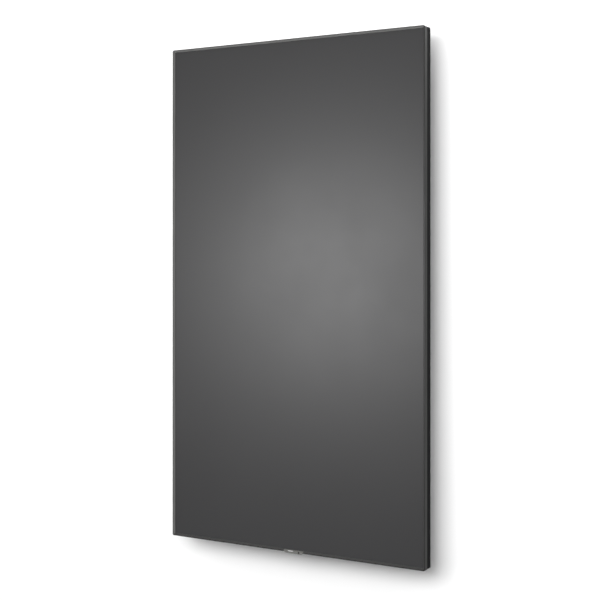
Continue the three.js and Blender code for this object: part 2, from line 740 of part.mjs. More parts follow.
// A shallow vee that tips about a pin along X; it rests with the off side pressed.
function mainsRocker() {
  const extrude = { depth: ROCKER_WIDTH, bevelEnabled: false };
  const body = new THREE.ExtrudeGeometry(outline(ROCKER_SECTION), extrude);
  body.translate(0, 0, -ROCKER_WIDTH / 2);
  body.rotateY(Math.PI / 2).rotateX(Math.PI / 2);
  body.rotateX(ROCKER_REST_TILT);
  return body.translate(ROCKER_PIVOT.x, ROCKER_PIVOT.y, ROCKER_PIVOT.z);
}

// ---------------------------------------------------------------- key strip

function keyZ(index) {
  return KEY_MIDDLE_Z + ((KEY_NAMES.length - 1) / 2 - index) * KEY_PITCH;
}

function keyFrame() {
  const bar = plate(roundedRect(boxAt(KEY_X, KEY_MIDDLE_Z, 22, 150), 5), [SHOULDER + GAP, SHOULDER + 1.6]);
  const holes = KEY_NAMES.map((name, index) => {
    const hole = boxAt(KEY_X, keyZ(index), KEY_SIZE.x + 0.8, KEY_SIZE.z + 0.8);
    return plate(roundedRect(hole, 2.4), [SHOULDER, SHOULDER + 3]);
  });
  return cut(bar, ...holes);
}

function key(index) {
  const flange = boxAt(KEY_X, keyZ(index), KEY_SIZE.x + 2.6, KEY_SIZE.z + 2.6);
  const cap = boxAt(KEY_X, keyZ(index), KEY_SIZE.x, KEY_SIZE.z);
  return join(
    slab(flange, [-34.1, -32.9]),
    plate(roundedRect(cap, 2), [-33, SHOULDER + 2.6]),
  );
}

function addControls() {
  add('ac_inlet', 'blackPlastic', acInlet());
  add('mains_rocker', 'blackPlastic', mainsRocker());
  add('key_frame', 'blackPlastic', keyFrame());
  add('key_board', 'board', slab(boxAt(KEY_X, KEY_MIDDLE_Z, 12, 132), [BOARD_FOOT, BOARD_FOOT + 0.8]));
  KEY_NAMES.forEach((name, index) => add(`key_${name}`, 'keyPlastic', key(index)));
}

// ---------------------------------------------------------------- sensor pod

// A shape on the pod's face, seen from in front.
function faceShape({ x, z, width, height }, margin, radius) {
  return roundedRect(boxAt(x, z, width + 2 * margin, height + 2 * margin), radius);
}

function badgeShape(margin) {
  const { x, z, halfWidth, halfHeight } = BADGE;
  return new THREE.Shape().absellipse(x, z, halfWidth + margin, halfHeight + margin, 0, Math.PI * 2);
}

function sensorPod() {
  const [left, right] = POD_X;
  const bottom = -HALF_H - POD_DROP;
  const top = -HALF_H - GAP;
  const chin = new THREE.Shape();
  chin.moveTo(left, top);
  chin.quadraticCurveTo(left + CHIN_SLOPE / 2, bottom, left + CHIN_SLOPE, bottom);
  chin.lineTo(right - CHIN_SLOPE, bottom);
  chin.quadraticCurveTo(right - CHIN_SLOPE / 2, bottom, right, top);
  const face = block([left + GAP, right - GAP], [FRONT, FRONT + POD_FRONT_DEPTH], [top - 0.1, POD_TOP]);
  const through = [FRONT - 1, FRONT + POD_FRONT_DEPTH + 1];
  return cut(
    join(plate(chin, [FRONT, POD_BACK], 5), face),
    block([left + 7, right - 7], [-57, -43], [bottom + 0.8, top + 1]),
    plate(faceShape(IR_WINDOW, 0.3, 1.6), through),
    plate(faceShape(LIGHT_PIPE, 0.3, 0.8), through),
    plate(badgeShape(0.15), [FRONT - 1, FRONT + 0.9], BADGE.segments),
  );
}

function addPod() {
  const inset = [FRONT + 0.2, FRONT + POD_FRONT_DEPTH];
  add('sensor_pod', 'bezel', sensorPod());
  add('pod_badge', 'badge', plate(badgeShape(-0.15), [FRONT + 0.05, FRONT + 0.6], BADGE.segments));
  add('ir_window', 'darkWindow', plate(faceShape(IR_WINDOW, 0, 1.3), inset));
  add('status_light', 'lightPipe', plate(faceShape(LIGHT_PIPE, 0, 0.5), inset));
  add('sensor_board', 'board', block([POD_X[0] + 9, POD_X[1] - 9], [-56, -44], [-618.9, -618.1]));
}

addBezel();
addScreenStack();
addElectronics();
addMounting();
addRear();
addControls();
addPod();

export default panel;
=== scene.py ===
"""Looks of a wall-hung portrait display panel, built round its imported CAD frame.

Metres. X runs across the screen, Z up it, and the screen faces -Y. The wall is on the +Y side.
"""

import json
import math
import random

import bmesh
import bpy
from mathutils import Matrix, Vector


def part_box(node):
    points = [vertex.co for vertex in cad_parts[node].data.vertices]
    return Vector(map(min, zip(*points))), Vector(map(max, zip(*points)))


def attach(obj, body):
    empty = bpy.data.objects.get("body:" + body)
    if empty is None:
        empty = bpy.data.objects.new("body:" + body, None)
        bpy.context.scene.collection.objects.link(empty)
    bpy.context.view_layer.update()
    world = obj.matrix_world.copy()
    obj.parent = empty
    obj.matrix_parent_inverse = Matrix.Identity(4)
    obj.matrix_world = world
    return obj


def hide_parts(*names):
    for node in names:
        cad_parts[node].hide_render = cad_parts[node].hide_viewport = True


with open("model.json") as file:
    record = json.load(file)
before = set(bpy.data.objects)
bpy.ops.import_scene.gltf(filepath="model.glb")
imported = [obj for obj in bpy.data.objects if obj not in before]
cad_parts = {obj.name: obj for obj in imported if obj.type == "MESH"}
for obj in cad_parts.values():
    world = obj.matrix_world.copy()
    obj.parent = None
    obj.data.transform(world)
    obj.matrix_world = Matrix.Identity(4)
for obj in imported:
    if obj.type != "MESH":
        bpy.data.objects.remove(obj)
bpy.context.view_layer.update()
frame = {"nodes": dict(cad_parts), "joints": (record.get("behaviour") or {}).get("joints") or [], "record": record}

MM = 0.001
PANEL = "panel"
FRONT_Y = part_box("bezel_left")[0].y
FIELD_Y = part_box("rear_cover")[1].y
SHOULDER_Y = FRONT_Y + 31 * MM
HALF_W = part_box("bezel_right")[1].x
HALF_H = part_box("bezel_top")[1].z
PORT_MOUTH_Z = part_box("main_board")[0].z
BOARD_BACK_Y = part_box("main_board")[0].y + 1.7 * MM
OPENING_MARGIN = Vector((0.3, 0.3, 0.2)) * MM
SCREW_WELL_DEPTH = 1.1
ROCKER_REST_TILT = math.radians(-10)

# Base colours and roughness.
# The bezel colours below are painted light and shade on one paint: left and top rails lighter, right and bottom
# rails darker, the inner slope paler than the lip and the outer side darker than the front.
BEZEL_LIP_LIT_AND_SHADED = {"left": 0.05, "top": 0.05, "right": 0.014, "bottom": 0.01}
BEZEL_SLOPE_LIT_AND_SHADED = {"left": 0.12, "top": 0.25, "right": 0.045, "bottom": 0.036}
BEZEL_SIDE_SHADED = (0.043, 0.043, 0.042)
SCREEN_DARK = (0.0215, 0.0213, 0.0222)
SCREEN_ROUGH = 0.412
BLACK = (0.0105, 0.0105, 0.011)

# Levels, places in metres and powers in watts of the lights, then the camera.
SKY_LEVEL = 1.6
GLOSS_LEVEL = 0.45
BACKDROP_LEVEL = 1.0
KEY_PLACE = (0.3, -3.0, 0.87)
KEY_SIZE = (3.0, 1.6)
KEY_POWER = 78
GLOW_PLACE = (-1.04, -2.25, 0.031)
GLOW_SIZE = (0.25, 0.5)
GLOW_POWER = 31.5
REAR_POWER = 170
REAR_SIDE_POWER = 60
REAR_LOW_POWER = 45

CAMERA_PLACE = (1.5353, -2.6102, 0.105)
CAMERA_AZIMUTH = math.radians(30.66)
CAMERA_LENS = 74.3
CAMERA_SHIFT = -0.0807

# Screws, plate and signs, in millimetres.
RIM_SCREW_INSET = (11, 12)
RIM_SCREW_Z = (130, 400, 590)
RIM_SCREW_X = (-230, 0, 230)
FIELD_SCREW_Z = (385, 120, -220)
FIELD_SCREW_X = (-246, 0, 246)
HANDLE_SCREW_INSET = 12
HANDLE_FOOT_THICK = 2.5
OPTION_COVER_FACE_Z = -344.5
PLATE_CENTRE = (160, -288)
PLATE_RECESS = 0.7
ROCKER_HALF_FACE = 8.4
ROCKER_FACE_FALL = 1.4

random.seed(7)


# ---------------------------------------------------------------- node helpers

class Shader:
    """A material's node tree with a few short ways to add to it."""

    def __init__(self, name, **settings):
        self.material = bpy.data.materials.new(name)
        self.material.use_nodes = True
        self.tree = self.material.node_tree
        self.bsdf = self.tree.nodes["Principled BSDF"]
        self.set(**settings)

    def set(self, **settings):
        for key, value in settings.items():
            socket = self.bsdf.inputs[key.replace("_", " ")]
            socket.default_value = value

    def node(self, kind, **values):
        made = self.tree.nodes.new(kind)
        for key, value in values.items():
            if key in made.inputs:
                made.inputs[key].default_value = value
            else:
                setattr(made, key, value)
        return made

    def link(self, output, socket):
        self.tree.links.new(output, socket)

    def coordinates(self, scale=(1, 1, 1)):
        place = self.node("ShaderNodeTexCoord")
        mapping = self.node("ShaderNodeMapping")
        mapping.inputs["Scale"].default_value = scale
        self.link(place.outputs["Object"], mapping.inputs["Vector"])
        return mapping.outputs["Vector"]

    def noise(self, scale, detail=4, stretch=(1, 1, 1), roughness=0.55):
        made = self.node("ShaderNodeTexNoise", Scale=scale, Detail=detail, Roughness=roughness)
        self.link(self.coordinates(stretch), made.inputs["Vector"])
        return made.outputs["Fac"]

    def voronoi(self, scale, stretch=(1, 1, 1), feature="F1"):
        made = self.node("ShaderNodeTexVoronoi", Scale=scale, feature=feature)
        self.link(self.coordinates(stretch), made.inputs["Vector"])
        return made.outputs["Distance"]

    def remap(self, value, low, high, start=0.3, end=0.7):
        """value from start to end becomes low to high."""
        made = self.node("ShaderNodeMapRange")
        made.inputs["From Min"].default_value = start
        made.inputs["From Max"].default_value = end
        made.inputs["To Min"].default_value = low
        made.inputs["To Max"].default_value = high
        self.link(value, made.inputs["Value"])
        return made.outputs["Result"]

    def blend(self, factor, first, second):
        made = self.node("ShaderNodeMix", data_type="RGBA")
        self.link(factor, made.inputs[0])
        made.inputs[6].default_value = (*first, 1)
        made.inputs[7].default_value = (*second, 1)
        return made.outputs[2]

    def colour(self, factor, first, second):
        self.link(self.blend(factor, first, second), self.bsdf.inputs["Base Color"])

    def rough(self, factor, low, high, start=0.3, end=0.7):
        self.link(self.remap(factor, low, high, start, end), self.bsdf.inputs["Roughness"])

    def bump(self, *layers):
        """Each layer is (height, strength, distance in metres); they are stacked."""
        normal = None
        for height, strength, distance in layers:
            made = self.node("ShaderNodeBump", Strength=strength, Distance=distance)
            self.link(height, made.inputs["Height"])
            if normal:
                self.link(normal, made.inputs["Normal"])
            normal = made.outputs["Normal"]
        self.link(normal, self.bsdf.inputs["Normal"])


def tint(colour, factor):
    return tuple(min(1.0, c * factor) for c in colour)


def coated(name, colour, rough, grain, depth, metallic=0.0, specular=0.5, spread=0.15):
    """Paint, powder coat or moulded plastic: a fine grain and a broad, uneven sheen."""
    shader = Shader(name, Metallic=metallic)
    shader.bsdf.inputs["Specular IOR Level"].default_value = specular
    broad = shader.noise(9, 3)
    fine = shader.noise(grain, 2)
    shader.colour(shader.remap(broad, 0, 1), tint(colour, 1 - spread), tint(colour, 1 + spread))
    shader.rough(broad, rough - 0.05, rough + 0.05)
    shader.bump((fine, 0.35, depth), (shader.voronoi(grain * 0.6), 0.2, depth))
    return shader.material


def bezel_satin_with_painted_light(side):
    """Satin paint, with painted light and shade in its colour: each rail has its own lighter or darker copy, the
    inner slope is painted paler than the flat lip, the outer sides are painted darker than the front, and a
    painted shadow line darkens the sides at the front edge.
    """
    shader = Shader(f"bezel_{side}_black", Metallic=0.0)
    shader.bsdf.inputs["Specular IOR Level"].default_value = 0.3
    place = shader.node("ShaderNodeTexCoord")
    facing = shader.node("ShaderNodeSeparateXYZ")
    shader.link(place.outputs["Normal"], facing.inputs[0])
    # Front faces and outer sides get different colours by facing; the darker side colour is painted shade.
    front = shader.remap(facing.outputs["Y"], 1, 0, -0.6, -0.4)
    position = shader.node("ShaderNodeSeparateXYZ")
    shader.link(place.outputs["Object"], position.inputs[0])
    # Painted shadow line: the side colour is darkened to 45 percent along the front 2.4 mm, where a seam would be
    # in shade.
    edge = shader.remap(position.outputs["Y"], 0, 1, FRONT_Y + 2.4 * MM, FRONT_Y + 2.8 * MM)
    side_painted_shade = shader.blend(edge, tint(BEZEL_SIDE_SHADED, 0.45), BEZEL_SIDE_SHADED)
    whole = shader.node("ShaderNodeMix", data_type="RGBA")
    shader.link(front, whole.inputs[0])
    shader.link(side_painted_shade, whole.inputs[6])
    # Painted light and shade: the lip and slope colours differ per rail, and the slope is painted paler than the
    # lip.
    lip, slope = BEZEL_LIP_LIT_AND_SHADED[side], BEZEL_SLOPE_LIT_AND_SHADED[side]
    sloping = shader.remap(facing.outputs["Y"], 0, 1, -0.97, -0.9)
    face = shader.blend(sloping, (lip, lip, lip * 0.98), (slope, slope, slope * 0.98))
    shader.link(face, whole.inputs[7])
    uneven = shader.node("ShaderNodeMix", data_type="RGBA", blend_type="MULTIPLY")
    uneven.inputs[0].default_value = 1
    shader.link(whole.outputs[2], uneven.inputs[6])
    shader.link(shader.remap(shader.noise(9, 3), 0.94, 1.06), uneven.inputs[7])
    shader.link(uneven.outputs[2], shader.bsdf.inputs["Base Color"])
    shader.rough(shader.noise(14, 3), 0.4, 0.48)
    shader.bump((shader.noise(1400, 2), 0.3, 0.00003), (shader.voronoi(800), 0.15, 0.00003))
    return shader.material


def screen_glass():
    """Anti-glare glass over a dark cell: a broad soft gloss with a very fine etch."""
    shader = Shader("anti_glare_screen", Metallic=0.0, IOR=1.5)
    shader.bsdf.inputs["Specular IOR Level"].default_value = 0.4
    broad = shader.noise(2.2, 2)
    shader.colour(shader.remap(broad, 0, 1), SCREEN_DARK, tint(SCREEN_DARK, 1.05))
    shader.rough(shader.noise(5, 4), SCREEN_ROUGH - 0.012, SCREEN_ROUGH + 0.012)
    shader.bump((shader.noise(5200, 2), 0.06, 0.00001))
    return shader.material


def zinc(name="zinc_plated_steel"):
    """Sheet steel with a rolled grain and a pale spangle."""
    shader = Shader(name, Metallic=1.0)
    grain = shader.noise(140, 5, (1, 1, 0.04))
    spangle = shader.voronoi(160)
    shader.colour(shader.remap(spangle, 0, 1, 0.1, 0.6), (0.42, 0.43, 0.44), (0.58, 0.59, 0.6))
    shader.rough(grain, 0.28, 0.46)
    shader.bump((grain, 0.15, 0.00004))
    return shader.material


def circuit_board(name, shells=False):
    """Green solder mask over copper tracks, with dark or bare metal parts standing off it."""
    shader = Shader(name)
    brick = shader.node("ShaderNodeTexBrick", Scale=120)
    shader.link(shader.coordinates((1, 0, 1)), brick.inputs["Vector"])
    brick.inputs["Color1"].default_value = (0.01, 0.09, 0.04, 1)
    brick.inputs["Color2"].default_value = (0.012, 0.12, 0.05, 1)
    brick.inputs["Mortar"].default_value = (0.03, 0.19, 0.08, 1)
    brick.inputs["Mortar Size"].default_value = 0.06
    place = shader.node("ShaderNodeTexCoord")
    position = shader.node("ShaderNodeSeparateXYZ")
    shader.link(place.outputs["Object"], position.inputs[0])
    raised = shader.remap(position.outputs["Y"], 0, 1, BOARD_BACK_Y, BOARD_BACK_Y + 0.1 * MM)
    patches = shader.remap(shader.voronoi(28, (1, 0, 1)), 0, 1, 0.45, 0.5)
    parts = shader.blend(patches, (0.022, 0.022, 0.023), (0.3, 0.3, 0.31))
    if shells:
        shell_end = PORT_MOUTH_Z + 13 * MM
        outer = shader.remap(position.outputs["Z"], 1, 0, shell_end, shell_end + 1 * MM)
        metal = shader.node("ShaderNodeMath", operation="MULTIPLY")
        shader.link(raised, metal.inputs[0])
        shader.link(outer, metal.inputs[1])
        shader.link(metal.outputs[0], shader.bsdf.inputs["Metallic"])
        plated = shader.node("ShaderNodeMix", data_type="RGBA")
        shader.link(outer, plated.inputs[0])
        shader.link(parts, plated.inputs[6])
        plated.inputs[7].default_value = (0.58, 0.57, 0.54, 1)
        parts = plated.outputs[2]
    whole = shader.node("ShaderNodeMix", data_type="RGBA")
    shader.link(raised, whole.inputs[0])
    shader.link(brick.outputs["Color"], whole.inputs[6])
    shader.link(parts, whole.inputs[7])
    shader.link(whole.outputs[2], shader.bsdf.inputs["Base Color"])
    shader.rough(shader.noise(60, 3), 0.3, 0.5)
    shader.bump((brick.outputs["Fac"], 0.3, 0.00005))
    return shader.material


def white_film(name, colour, rough):
    shader = Shader(name)
    broad = shader.noise(14, 3)
    shader.colour(shader.remap(broad, 0, 1), tint(colour, 0.96), colour)
    shader.rough(broad, rough - 0.06, rough + 0.06)
    shader.bump((shader.noise(900, 2), 0.1, 0.00002))
    return shader.material


def machined(name, colour, rough=0.28):
    """Turned or rolled bright metal with fine tool lines."""
    shader = Shader(name, Metallic=1.0)
    lines = shader.noise(2400, 3, (1, 0.05, 1))
    shader.colour(shader.remap(shader.noise(300, 3), 0, 1), tint(colour, 0.85), colour)
    shader.rough(lines, rough - 0.06, rough + 0.1)
    shader.bump((lines, 0.12, 0.00002))
    return shader.material


def brushed_badge():
    shader = Shader("brushed_badge", Metallic=1.0)
    lines = shader.noise(1500, 4, (0.03, 1, 1))
    shader.colour(shader.remap(lines, 0, 1), (0.62, 0.62, 0.63), (0.86, 0.86, 0.86))
    shader.rough(lines, 0.22, 0.42)
    shader.bump((lines, 0.15, 0.00001))
    return shader.material


def dark_window():
    shader = Shader("infrared_window", IOR=1.5)
    shader.bsdf.inputs["Specular IOR Level"].default_value = 0.15
    flow = shader.noise(500, 2)
    shader.colour(shader.remap(flow, 0, 1), (0.003, 0.001, 0.002), (0.008, 0.003, 0.004))
    shader.rough(flow, 0.06, 0.14)
    return shader.material


def frosted_pipe():
    shader = Shader("frosted_light_pipe", IOR=1.49)
    shader.set(Transmission_Weight=0.25)
    cloud = shader.noise(900, 3)
    shader.colour(shader.remap(cloud, 0, 1), (0.22, 0.22, 0.21), (0.34, 0.34, 0.33))
    shader.rough(cloud, 0.35, 0.5)
    return shader.material


def make_materials():
    return {
        "bezel_left": bezel_satin_with_painted_light("left"),
        "bezel_right": bezel_satin_with_painted_light("right"),
        "bezel_top": bezel_satin_with_painted_light("top"),
        "bezel_bottom": bezel_satin_with_painted_light("bottom"),
        "pod": coated("pod_black", (0.115, 0.115, 0.108), 0.45, 1400, 0.00003, specular=0.3),
        "screen": screen_glass(),
        "cover": coated("rear_cover_black", BLACK, 0.75, 700, 0.00012, specular=0.1),
        "black_plastic": coated(
            "moulded_black", (0.02, 0.02, 0.0205), 0.5, 1100, 0.00006, specular=0.3,
        ),
        "key": coated("key_black", (0.028, 0.028, 0.0285), 0.42, 1500, 0.00003, specular=0.4),
        "powder": coated("powder_black", (0.021, 0.021, 0.0215), 0.55, 900, 0.0001, specular=0.4),
        "zinc": zinc(),
        "board": circuit_board("circuit_board"),
        "main_board": circuit_board("main_board_parts", shells=True),
        "white": white_film("white_plastic", (0.82, 0.82, 0.8), 0.6),
        "film": white_film("clear_film", (0.72, 0.74, 0.76), 0.3),
        "ribbon": white_film("ribbon_film", (0.7, 0.7, 0.68), 0.4),
        "insert": machined("insert_metal", (0.66, 0.6, 0.46)),
        "screw": machined("screw_steel", (0.5, 0.5, 0.51), 0.32),
        "dark_screw": machined("blackened_screw", (0.09, 0.09, 0.092), 0.4),
        "contact": machined("gold_contact", (0.8, 0.62, 0.28), 0.25),
        "badge": brushed_badge(),
        "window": dark_window(),
        "pipe": frosted_pipe(),
        "rubber": coated("rubber_black", (0.013, 0.013, 0.013), 0.82, 1200, 0.00005, specular=0.25),
        "nickel": machined("nickel_shell", (0.6, 0.59, 0.56), 0.3),
        "label": coated("label_silver", (0.3, 0.3, 0.295), 0.5, 2000, 0.00001, specular=0.35),
        "dark_print": coated("dark_print", (0.05, 0.05, 0.052), 0.6, 1500, 0.00001, specular=0.3),
        "legend": coated("printed_legend", (0.5, 0.5, 0.49), 0.6, 1500, 0.00001, specular=0.3),
    }


NODE_LOOKS = {
    "bezel_left": ["bezel_left"],
    "bezel_right": ["bezel_right"],
    "bezel_top": ["bezel_top"],
    "bezel_bottom": ["bezel_bottom"],
    "pod": ["sensor_pod"],
    "screen": ["lcd_cell"],
    "cover": ["rear_cover"],
    "black_plastic": ["mid_frame", "fan_", "speaker_", "ac_inlet", "mains_rocker", "key_frame"],
    "powder": ["option_slot_cover", "handle_"],
    "zinc": ["back_chassis", "timing_shield", "terminal_plate", "mount_rail_", "corner_bracket_"],
    "board": ["source_board_", "timing_board", "power_board", "key_board", "sensor_board"],
    "main_board": ["main_board"],
    "white": ["diffuser_plate", "reflector_sheet", "led_bar_"],
    "film": ["optical_film_stack"],
    "ribbon": ["timing_ribbon", "board_link_ribbon"],
    "insert": ["mount_insert_"],
    "rubber": ["mains_wire", "backlight_wire"],
    "badge": ["pod_badge"],
    "window": ["ir_window"],
    "pipe": ["status_light"],
}


def look_of(node):
    for look, starts in NODE_LOOKS.items():
        if any(node.startswith(start) for start in starts):
            return look
    return "key"


def paint(obj, material):
    obj.data.materials.clear()
    obj.data.materials.append(material)


def soften(obj, width, segments=2):
    """A small round on every sharp edge."""
    bevel = obj.modifiers.new("edges", "BEVEL")
    bevel.width = width
    bevel.segments = segments
    bevel.limit_method = "ANGLE"
    bevel.angle_limit = math.radians(35)
    bevel.harden_normals = True
    bevel.use_clamp_overlap = True


EDGE_ROUNDS = {
    "bezel_": 0.25 * MM,
    "sensor_pod": 0.3 * MM,
    "rear_cover": 0.5 * MM,
    "key_": 0.35 * MM,
    "fan_frame": 0.4 * MM,
    "option_slot_cover": 0.3 * MM,
    "ac_inlet": 0.3 * MM,
    "mains_rocker": 0.5 * MM,
}


def dress_frame(looks):
    """Gives every solid its look, and rounds the edges of the ones that show."""
    for name, obj in frame["nodes"].items():
        paint(obj, looks[look_of(name)])
        for start, width in EDGE_ROUNDS.items():
            if name.startswith(start):
                soften(obj, width)


# ---------------------------------------------------------------- building pieces

def facing(point, normal, up=(0, 0, 1)):
    """A placement at point whose local Z is the normal and whose local Y leans towards up."""
    out = Vector(normal).normalized()
    lean = Vector(up) - out * out.dot(Vector(up))
    lean.normalize()
    turn = Matrix((lean.cross(out), lean, out)).transposed().to_4x4()
    return Matrix.Translation(point) @ turn


def rounded_outline(width, height, radius, steps=3):
    """Points round a rectangle with round corners, about the origin."""
    points = []
    for quarter, (side_x, side_y) in enumerate(((1, 1), (-1, 1), (-1, -1), (1, -1))):
        for step in range(steps + 1):
            angle = math.radians(90 * (quarter + step / steps))
            x = side_x * (width / 2 - radius) + radius * math.cos(angle)
            y = side_y * (height / 2 - radius) + radius * math.sin(angle)
            points.append((x, y))
    return points


def arc(radius, start, end, steps):
    """Points on an arc about the origin, from start to end in degrees."""
    angles = [math.radians(start + (end - start) * step / steps) for step in range(steps + 1)]
    return [(radius * math.cos(angle), radius * math.sin(angle)) for angle in angles]


class Form:
    """A mesh built up part by part, in metres. Each part is placed by a matrix."""

    def __init__(self):
        self.mesh = bmesh.new()

    def loft(self, rings, place, looped=False):
        """Skins rings of equally many points, and closes both ends unless it is looped."""
        rows = [[self.mesh.verts.new(place @ Vector(point)) for point in ring] for ring in rings]
        pairs = list(zip(rows, rows[1:]))
        if looped:
            pairs.append((rows[-1], rows[0]))
        for low, high in pairs:
            for i in range(len(low)):
                j = (i + 1) % len(low)
                self.mesh.faces.new((low[i], low[j], high[j], high[i]))
        if not looped:
            self.mesh.faces.new(rows[0][::-1])
            self.mesh.faces.new(rows[-1])

    def turned(self, profile, place, sides=24):
        """A lathe form. The profile holds (radius, height) from the base to the top."""
        angles = [2 * math.pi * i / sides for i in range(sides)]
        self.loft(
            [[(r * math.cos(a), r * math.sin(a), h) for a in angles] for r, h in profile],
            place,
        )

    def tile(self, width, height, depth, place, radius, edge):
        """A flat piece with round corners and a chamfer round its outer face."""
        base = rounded_outline(width, height, radius)
        top = rounded_outline(width - 2 * edge, height - 2 * edge, max(radius - edge, edge / 4))
        levels = ((base, 0), (base, depth - edge), (top, depth))
        self.loft([[(x, y, z) for x, y in outline] for outline, z in levels], place)

    def stroke(self, points, width, height, place, closed=False):
        """A raised line along points in the local XY plane."""
        last = len(points) - 1
        rings = []
        for i, (x, y) in enumerate(points):
            before = points[i - 1] if closed or i > 0 else points[0]
            after = points[(i + 1) % len(points)] if closed or i < last else points[last]
            along = Vector((after[0] - before[0], after[1] - before[1], 0)).normalized()
            side = Vector((-along.y, along.x, 0)) * (width / 2)
            here = Vector((x, y, 0))
            top = here + Vector((0, 0, height))
            rings.append([here - side, here + side, top + side * 0.8, top - side * 0.8])
        self.loft(rings, place, closed)

    def piece(self, name, look, slot, body=PANEL, angle=35):
        bmesh.ops.recalc_face_normals(self.mesh, faces=self.mesh.faces)
        data = bpy.data.meshes.new(name)
        self.mesh.to_mesh(data)
        self.mesh.free()
        data.shade_smooth()
        data.set_sharp_from_angle(angle=math.radians(angle))
        obj = bpy.data.objects.new(name, data)
        bpy.context.scene.collection.objects.link(obj)
        paint(obj, looks[look])
        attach(obj, body)
        return obj


# ---------------------------------------------------------------- handles

HANDLE_BAR = 9
HANDLE_FOOT = 24
HANDLE_OUTER_ROUND = 14
HANDLE_INNER_ROUND = 6


def add_handle(row):
    """A flat bar bent to a bridge, with a foot at each end, in place of the coarser solid."""
    node = f"handle_{row}"
    low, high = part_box(node)
    length = high.x / MM
    bridge = length - HANDLE_FOOT
    base, top = low.y / MM, high.y / MM
    inner_x = bridge - HANDLE_BAR
    inner = arc(HANDLE_INNER_ROUND, 0, 90, 8)
    outer = arc(HANDLE_OUTER_ROUND, 0, 90, 12)
    inner_top = top - HANDLE_BAR - HANDLE_INNER_ROUND
    outer_top = top - HANDLE_OUTER_ROUND
    half = [(inner_x, base)]
    half += [(inner_x - HANDLE_INNER_ROUND + x, inner_top + y) for x, y in inner]
    far = [(length, base), (length, base + HANDLE_FOOT_THICK), (bridge, base + HANDLE_FOOT_THICK)]
    far += [(bridge - HANDLE_OUTER_ROUND + x, outer_top + y) for x, y in outer]
    right = half[::-1] + far
    left = [(-x, y) for x, y in right[::-1]]
    outline = right + left
    form = Form()
    levels = (low.z, high.z)
    form.loft([[(x * MM, y * MM, z) for x, y in outline] for z in levels], Matrix.Identity(4))
    strap = form.piece(f"{node}_strap", "powder", "black_steel", angle=30)
    soften(strap, 1.1 * MM, 3)
    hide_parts(node)


# ---------------------------------------------------------------- screws

def cross_edge(angle, arm, half_width):
    """How far the rim of a cross-shaped recess lies from its middle in this direction."""
    fold = abs((angle + math.pi / 4) % (math.pi / 2) - math.pi / 4)
    return min(arm / math.cos(fold), half_width / max(math.sin(fold), 1e-6))


def screw(form, point, normal, radius, height):
    """A pan head with a cross recess, turned to any angle as a driver leaves it."""
    arm, half_width = 0.52 * radius, 0.15 * radius
    corner = math.atan2(half_width, arm)
    between = (corner + math.pi / 4) / 2
    turns = (-math.pi / 4, -between, -corner, 0, corner, between)
    angles = [quarter * math.pi / 2 + turn for quarter in range(4) for turn in turns]

    def ring(reach, level):
        return [(reach(a) * math.cos(a), reach(a) * math.sin(a), level * height) for a in angles]

    dome = [(1.0, 0.0), (1.0, 0.3), (0.92, 0.66), (0.68, 0.96)]
    rings = [ring(lambda a, r=share * radius: r, level) for share, level in dome]
    rings.append(ring(lambda a: cross_edge(a, arm, half_width), 1.0))
    rings.append(ring(lambda a: 0.75 * cross_edge(a, arm, half_width), 0.4))
    rings.append(ring(lambda a: 0.03 * radius, 0.25))
    spin = Matrix.Rotation(random.uniform(0, math.pi / 2), 4, "Z")
    up = (0, 1, 0) if abs(normal[1]) < 0.5 else (0, 0, 1)
    form.loft(rings, facing(point, normal, up) @ spin)


def screw_set(name, points, normal, radius, height, look="dark_screw", slot="black_steel"):
    form = Form()
    for point in points:
        screw(form, Vector(point) * MM, normal, radius * MM, height * MM)
    form.piece(name, look, slot)


def add_screws():
    back = (0, 1, 0)
    down = (0, 0, -1)
    rim = SHOULDER_Y / MM
    side_x = HALF_W / MM - RIM_SCREW_INSET[0]
    end_z = HALF_H / MM - RIM_SCREW_INSET[1]
    corners = [(side, end) for side in (-1, 1) for end in (-1, 1)]
    rim_points = [(side * side_x, rim, end * z) for side, end in corners for z in RIM_SCREW_Z]
    rim_points += [(x, rim, end * end_z) for end in (-1, 1) for x in RIM_SCREW_X]
    screw_set("rim_screws", rim_points, back, 3.4, 1.9)
    well_floor = FIELD_Y / MM - SCREW_WELL_DEPTH
    wells = [(x, well_floor, z) for z in FIELD_SCREW_Z for x in FIELD_SCREW_X]
    screw_set("field_screws", wells, back, 3.7, 1.0)
    for row in ("top", "bottom"):
        low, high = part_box(f"handle_{row}")
        foot_x = high.x / MM - HANDLE_SCREW_INSET
        foot_y = low.y / MM + HANDLE_FOOT_THICK
        middle_z = (low.z + high.z) / 2 / MM
        points = [(side * foot_x, foot_y, middle_z) for side in (-1, 1)]
        screw_set(f"handle_{row}_screws", points, back, 3.9, 2.2)
    plate_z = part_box("terminal_plate")[0].z / MM
    screw_set(
        "terminal_screws", [(x, -8.5, plate_z) for x in (-185, -122, -60)], down, 2.1, 1.2,
        "screw", "plated_steel",
    )
    flange_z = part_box("ac_inlet")[0].z / MM
    screw_set("inlet_screws", [(x, -15.5, flange_z) for x in (154.4, 179.4)], down, 2.2, 1.2)
    cover_points = [(x, -16.7, OPTION_COVER_FACE_Z) for x in (-29, 85)]
    screw_set("option_cover_screws", cover_points, down, 2.6, 1.5)


# ---------------------------------------------------------------- ports and mains inlet

def opening_box(name):
    """The lowest and highest corners of an opening that the record states."""
    for opening in frame["record"]["physics"]["openings"]:
        if opening["name"] == name:
            return Vector(opening["box_m"][0]), Vector(opening["box_m"][1])
    raise ValueError(name)


def port_place(name):
    """A placement at the middle of a port's mouth, local Z pointing out, and the cavity's size."""
    low, high = opening_box(name)
    middle = Vector(((low.x + high.x) / 2, (low.y + high.y) / 2, PORT_MOUTH_Z))
    size = Vector((high.x - low.x, high.y - low.y, high.z - PORT_MOUTH_Z)) + OPENING_MARGIN
    return facing(middle, (0, 0, -1), (0, 1, 0)), size


